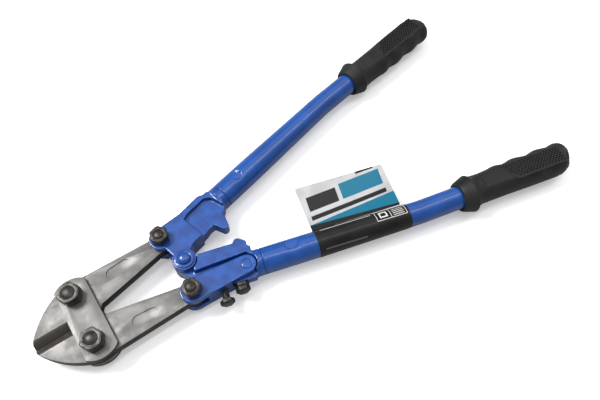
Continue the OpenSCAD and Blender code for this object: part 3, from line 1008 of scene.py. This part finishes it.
Table = tuple[tuple[float, float], ...]
COLLAR: Table = ((0, 12.2), (1.5, 13.0), (5, 14.2), (9.2, 15.6), (10.2, 15.98))


@dataclass
class Grip(SubAssembly):
    """A moulded grip: a flared collar, finger waves inside, flat faces with a net of pits."""

    side: Side = Side.UPPER
    axis_y: float = UPPER_AXIS_Y
    start: float = 36.3
    bore_r: float = 9.72
    bore_l: float = 103.5
    flat_z: float = 11.3
    flat_from: float = 22.0
    flat_to: float = 101.0
    net_z: float = 11.45
    net_half_w: float = 8.6
    net_start_in: float = 42.0
    net_start_out: float = 51.0
    net_end: float = 100.0
    net_cell: float = 2.2
    net_span: float = 84.0
    net_y: float = -0.8
    bed_margin: float = 1.2
    bed_depth: float = 0.9
    pit_rim: float = 0.36
    pit_depth: float = 0.9
    skirt: float = 1.6
    outer: Table = COLLAR + (
        (10.9, 15.85), (11.8, 14.8), (13.5, 13.3), (16, 12.4), (19, 12.0), (24, 11.9), (40, 12.0),
        (70, 12.6), (92, 12.8), (97, 12.4), (101, 11.0), (104.5, 8.2), (107, 5.0), (108.6, 2.0),
        (109.5, -1.5))
    inner: Table = COLLAR + (
        (10.9, 15.8), (11.8, 15.0), (14, 14.2), (18, 13.8), (24, 13.6), (32, 14.0), (41, 15.2), (49, 13.9),
        (60, 15.6), (72.5, 13.9), (83, 15.7), (94, 14.4), (101, 15.6), (104.5, 15.2), (107, 13.4),
        (108.6, 10.8), (109.5, 6.4))
    depth: Table = COLLAR + (
        (10.9, 15.85), (11.8, 14.8), (13.5, 13.5), (16, 12.9), (20, 12.6), (26, 12.8), (60, 13.4),
        (92, 13.9), (99, 13.6), (103, 12.6), (106, 10.8), (108.2, 8.4), (109.5, 5.0))

    @staticmethod
    def level(table: Table, x: float) -> float:
        """A value read from a table, eased between its rows.

        Args:
            table: rows of a place along the grip and the value there.
            x: the place.
        """
        for (x0, y0), (x1, y1) in zip(table, table[1:]):
            if x <= x1:
                share = (x - x0) / (x1 - x0)
                eased = share * share * (3 - 2 * share) if x0 >= 18 and x1 <= 101 else share
                return y0 + (y1 - y0) * eased
        return table[-1][1]

    def rings(self) -> list[Ring]:
        """The bore's rings and then the outside's."""
        bore = [Ring(self.bore_l, self.bore_r, self.bore_r), Ring(0.6, self.bore_r, self.bore_r),
                Ring(0.0, self.bore_r + 0.6, self.bore_r + 0.6)]
        fine = sorted({row[0] for row in self.outer + self.inner + self.depth}
                      | {0.4, 0.9} | {13 + 1.3 * step for step in range(67)})
        outside = []
        for x in fine:
            out, inn = self.level(self.outer, x), self.level(self.inner, x)
            trim = 0.4 if x == 0 else 0.0
            outside.append(Ring(x, (out + inn) / 2 - trim, self.level(self.depth, x) - trim,
                                (out - inn) / 2))
        return bore + outside

    def net_start(self, y: float) -> float:
        """Where the net starts at a distance across the grip."""
        share = (y + self.net_half_w) / (2 * self.net_half_w)
        return self.net_start_in + (self.net_start_out - self.net_start_in) * share

    def flatten(self, grip: Object) -> None:
        """Flattens the top and bottom faces and sinks the beds of the nets."""
        for sign in (1, -1):
            pick_points(grip, lambda p, s=sign: s * p.z > self.flat_z * MM
                        and self.flat_from * MM < p.x < self.flat_to * MM)
            bpy.ops.transform.resize(value=(1, 1, 0.04), center_override=(0, 0, sign * self.flat_z * MM))
            pick_points(grip, lambda p, s=sign: s * p.z > (self.flat_z - 0.4) * MM
                        and p.x / MM > self.net_start(p.y / MM) + self.bed_margin
                        and p.x / MM < self.net_end - self.bed_margin
                        and abs(p.y / MM - self.net_y) < self.net_half_w - 1.0)
            bpy.ops.transform.translate(value=(0, 0, -sign * self.bed_depth * MM))
        deselect()

    def net(self, sign: int) -> Object:
        """Makes one net of pits: a diamond grid, trimmed, with each whole cell inset and pushed in.

        Args:
            sign: 1 for the top face and -1 for the bottom face.

        Returns:
            The net, in the grip's frame.
        """
        deselect()
        cells = int(self.net_span / self.net_cell)
        middle = (self.net_start_in + self.net_end) / 2
        bpy.ops.mesh.primitive_grid_add(x_subdivisions=cells, y_subdivisions=cells, size=self.net_span * MM,
                                        location=(middle * MM, self.net_y * MM, sign * self.net_z * MM),
                                        rotation=(0, 0, math.radians(45)))
        net = bpy.context.object
        net.name = net.data.name = f"{self.side.value}_grip_net_{'top' if sign > 0 else 'bottom'}"
        bpy.ops.object.transform_apply(location=True, rotation=True, scale=True)
        slant = Vector((2 * self.net_half_w, -(self.net_start_out - self.net_start_in), 0)).normalized()
        cuts = (((self.net_start(0), 0), -slant), ((self.net_end, 0), Vector((1, 0, 0))),
                ((0, self.net_half_w + self.net_y), Vector((0, 1, 0))),
                ((0, -self.net_half_w + self.net_y), Vector((0, -1, 0))))
        for (x, y), normal in cuts:
            to_mode("EDIT")
            bpy.ops.mesh.select_all(action="SELECT")
            bpy.ops.mesh.bisect(plane_co=(x * MM, y * MM, sign * self.net_z * MM), plane_no=normal,
                                clear_outer=True)
            to_mode("OBJECT")
        whole = 0.9 * (self.net_cell * MM) ** 2
        pick(net, "FACE", lambda face: face.area > whole and len(face.vertices) == 4)
        bpy.ops.mesh.inset(thickness=self.pit_rim * MM, depth=0, use_individual=True)
        bpy.ops.mesh.extrude_faces_move(TRANSFORM_OT_shrink_fatten={"value": 0.0})
        bpy.ops.transform.translate(value=(0, 0, -sign * self.pit_depth * MM))
        to_mode("OBJECT")
        edit(net, "EDGE")
        bpy.ops.mesh.select_non_manifold(extend=False)
        bpy.ops.mesh.extrude_region_move(TRANSFORM_OT_translate={"value": (0, 0, -sign * self.skirt * MM)})
        deselect()
        return net

    def make(self) -> None:
        """Makes and dresses the grip and its two nets."""
        bend = Matrix.Translation((BEND_AT * MM, self.axis_y * MM, 0)) @ Matrix.Rotation(
            -math.radians(BEND_ANGLE), 4, "Z")
        place = self.side.place @ bend @ Matrix.Translation((self.start * MM, 0, 0))
        name = f"{self.side.value}_grip"
        grip = loft(name + "_moulding", self.rings(), 72)
        self.flatten(grip)
        lay(grip, place)
        smooth(grip, 55)
        self.settle(grip, Slot.RUBBER, self.side.body, name)
        for sign in (1, -1):
            net = self.net(sign)
            lay(net, place)
            self.settle(net, Slot.RUBBER, self.side.body)


@dataclass
class Wrap(SubAssembly):
    """The printed film round the lower tube."""

    film: float = 0.35
    end_drop: float = 0.12
    ripple: float = 0.048
    steps: int = 26

    def make(self, tube: Tube) -> None:
        """Makes and dresses the film.

        Args:
            tube: the tube it is wrapped round.
        """
        rings = []
        for step in range(self.steps + 1):
            x = LABEL_X + LABEL_L * step / self.steps
            drop = self.end_drop if step in (0, self.steps) else 0.0
            radius = tube.radius(x) + self.film - drop + min(self.ripple * math.sin(step * 2.4), 0.0)
            rings.append(Ring(x, radius, radius, LOWER_AXIS_Y))
        film = loft("tube_label_film", rings, 64, capped=False)
        lay(film, Side.LOWER.place)
        apply_modifier(film, "SOLIDIFY", thickness=self.film * 0.8 * MM, offset=-1.0)
        smooth(film, 50)
        self.settle(film, Slot.WRAP, Side.LOWER.body, "tube_label")


@dataclass
class TagCard(SubAssembly):
    """The card that stands on the wrapped tube: thin, with rounded corners, and slightly bowed."""

    foot: float = 10.95
    top: float = 48.6
    top_zone: float = 3.0
    slant: float = -2.6
    thickness: float = 0.6
    corner_r: float = 1.4
    bow: float = 0.5
    strips: int = 12

    def make(self) -> None:
        """Makes and dresses the card."""
        deselect()
        height = self.top - self.foot
        middle = (CARD_X + CARD_L / 2) * MM
        bpy.ops.mesh.primitive_cube_add(size=1, location=(middle, (self.foot + height / 2) * MM, 0),
                                        scale=(CARD_L * MM, height * MM, self.thickness * MM))
        card = bpy.context.object
        card.name = card.data.name = "tag_card_board"
        bpy.ops.object.transform_apply(location=True, rotation=True, scale=True)

        def at_corner(edge: bpy.types.MeshEdge) -> bool:
            """Whether an edge runs through the card's thickness at one of its upper corners."""
            ends = [card.data.vertices[index].co for index in edge.vertices]
            return abs(ends[0].z - ends[1].z) > 1e-5 and ends[0].y > self.foot * MM + 1e-3

        pick(card, "EDGE", at_corner)
        bpy.ops.mesh.bevel(offset=self.corner_r * MM, segments=5, affect="EDGES")
        for strip in range(1, self.strips):
            bpy.ops.mesh.select_all(action="SELECT")
            bpy.ops.mesh.bisect(plane_co=((CARD_X + CARD_L * strip / self.strips) * MM, 0, 0),
                                plane_no=(1, 0, 0))
        near_top = (self.top - self.top_zone) * MM
        pick_points(card, lambda p: p.y > near_top)
        bpy.ops.transform.translate(value=(self.slant * MM, 0, 0))
        pick_points(card, lambda p: abs(p.x - middle) < 8 * MM and p.y > near_top)
        bpy.ops.transform.translate(value=(0, 0, self.bow * MM), use_proportional_edit=True,
                                    proportional_edit_falloff="SMOOTH", proportional_size=40 * MM)
        deselect()
        lean = Matrix.Translation((0, LOWER_AXIS_Y * MM, 0)) @ Matrix.Rotation(
            math.radians(180 - CARD_LEAN), 4, "X")
        lay(card, Side.LOWER.place @ lean)
        apply_modifier(card, "BEVEL", width=0.12 * MM, segments=1, limit_method="ANGLE",
                       angle_limit=math.radians(60))
        smooth(card, 30)
        self.settle(card, Slot.CARD, Side.LOWER.body, "tag_card")


# ---------------------------------------------------------------- studio


@dataclass
class Studio:
    """The pale floor, the soft lights and the camera."""

    target: Vector = field(default_factory=lambda: Vector((105.47, -2.01, 16)) * MM)
    azimuth: float = -34.93
    elevation: float = 59.31
    roll: float = 0.72
    distance: float = 460.95
    lens: float = 33.39
    sensor: float = 36.0
    sky: float = 0.36
    strip_place: tuple[float, float, float] = (0.12, -0.10, 1.3)
    strip_size: tuple[float, float] = (2.4, 0.07)
    strip_power: float = 5.5

    def make_floor(self) -> None:
        """Makes the floor, a broad flat sheet."""
        deselect()
        bpy.ops.mesh.primitive_plane_add(size=8.0, location=(0.1, 0, -0.0004))
        floor = bpy.context.object
        floor.name = floor.data.name = "floor"
        to_mode("EDIT")
        bpy.ops.mesh.select_all(action="SELECT")
        bpy.ops.mesh.inset(thickness=1.0)
        to_mode("OBJECT")
        floor.data.materials.append(Floor("pale_floor").build())

    def make_camera(self) -> None:
        """Makes the camera and turns it to the object."""
        azimuth, elevation, roll = map(math.radians, (self.azimuth, self.elevation, self.roll))
        back = Vector((math.sin(azimuth) * math.cos(elevation), -math.cos(azimuth) * math.cos(elevation),
                       math.sin(elevation)))
        right = (-back).cross(Vector((0, 0, 1))).normalized()
        up = right.cross(-back)
        rolled_right = right * math.cos(roll) + up * math.sin(roll)
        rolled_up = up * math.cos(roll) - right * math.sin(roll)
        data = bpy.data.cameras.new("camera")
        data.lens, data.sensor_width = self.lens, self.sensor
        data.clip_start = 0.01
        camera = link_new("camera", data)
        turn = Matrix((rolled_right, rolled_up, back)).transposed().to_4x4()
        camera.matrix_world = Matrix.Translation(self.target + back * self.distance * MM) @ turn
        bpy.context.scene.camera = camera

    def make_strip(self) -> None:
        """Makes the long light overhead that draws a streak along the tubes."""
        data = bpy.data.lights.new("strip", "AREA")
        data.shape, data.energy = "RECTANGLE", self.strip_power
        data.size, data.size_y = self.strip_size
        link_new("strip", data).location = self.strip_place

    def make_light(self, name: str, place: Vector, size: float, power: float) -> None:
        """Makes one soft square light that faces the target.

        Args:
            name: the light's name.
            place: where it hangs.
            size: its width.
            power: its power in watts.
        """
        data = bpy.data.lights.new(name, "AREA")
        data.shape, data.size, data.energy = "SQUARE", size, power
        light = link_new(name, data)
        light.location = place
        light.rotation_euler = (self.target - place).to_track_quat("-Z", "Y").to_euler()

    def make(self) -> None:
        """Makes the whole studio."""
        self.make_floor()
        self.make_camera()
        self.make_light("key", Vector((-0.55, 0.65, 1.25)), 0.55, 24.0)
        self.make_strip()
        self.make_light("fill", Vector((0.8, 0.2, 1.5)), 2.0, 10.0)
        world = bpy.data.worlds.new("sky")
        world.use_nodes = True
        background = world.node_tree.nodes["Background"]
        background.inputs["Color"].default_value = (1, 1, 1, 1)
        background.inputs["Strength"].default_value = self.sky
        bpy.context.scene.world = world
        bpy.context.scene.view_settings.view_transform = "Standard"
        LOG.info("studio: floor, camera and three soft lights")


def build_finishes() -> dict[Slot, bpy.types.Material]:
    """Builds the finish of every slot."""
    finishes = (
        Enamel(Slot.CASTING.value),
        Enamel(Slot.TUBE.value, deep=(0.003, 0.052, 0.25), lumps=0.03, lump_scale=70.0, wear=0.3),
        Rubber(Slot.RUBBER.value),
        Print(Slot.WRAP.value, base=(0.007, 0.007, 0.008), shade=(0.013, 0.0125, 0.012),
              blocks=moved(WRAP_PRINT, LABEL_X), centre_y=LOWER_AXIS_Y, coat=0.15, rough=0.34),
        Print(Slot.CARD.value, base=(0.50, 0.505, 0.51), shade=(0.42, 0.425, 0.43),
              blocks=moved(CARD_PRINT, CARD_X - 1.0), centre_y=7.2,
              stretch_y=1 / math.cos(math.radians(CARD_LEAN)), coat=0.1, rough=0.45),
        GroundSteel(Slot.JAW.value),
        GroundSteel(Slot.PLATE.value, bright=(0.215, 0.21, 0.204), dull=(0.165, 0.16, 0.153)),
        # The plated fasteners' bright edge colour is painted edge highlight as well as rubbed wear.
        DarkSteel(Slot.PLATED.value, colour=(0.017, 0.015, 0.013), tint=(0.038, 0.032, 0.026),
                  worn_edge_and_highlight=(0.30, 0.28, 0.25)),
        DarkSteel(Slot.BLACKENED.value),
    )
    return {Slot(finish.name): finish.build() for finish in finishes}


def main() -> None:
    """Builds the bolt cutters and the studio."""
    logging.basicConfig(level=logging.INFO, format="%(name)s: %(message)s")
    finishes = build_finishes()
    lower_tube = Tube(finishes, Side.LOWER, axis_y=LOWER_AXIS_Y, seam=56.4, crimp_x=81.0, crimp_y=14.5,
                      crimp_l=11.0, crimp_w=8.5, ridges=2)
    Castings(finishes).make()
    MachinedParts(finishes).make()
    SettingScrews(finishes).make()
    Tube(finishes).make()
    lower_tube.make()
    Grip(finishes).make()
    Grip(finishes, Side.LOWER, axis_y=LOWER_AXIS_Y).make()
    Wrap(finishes).make(lower_tube)
    TagCard(finishes).make()
    Studio().make()


if __name__ == "__main__":
    main()
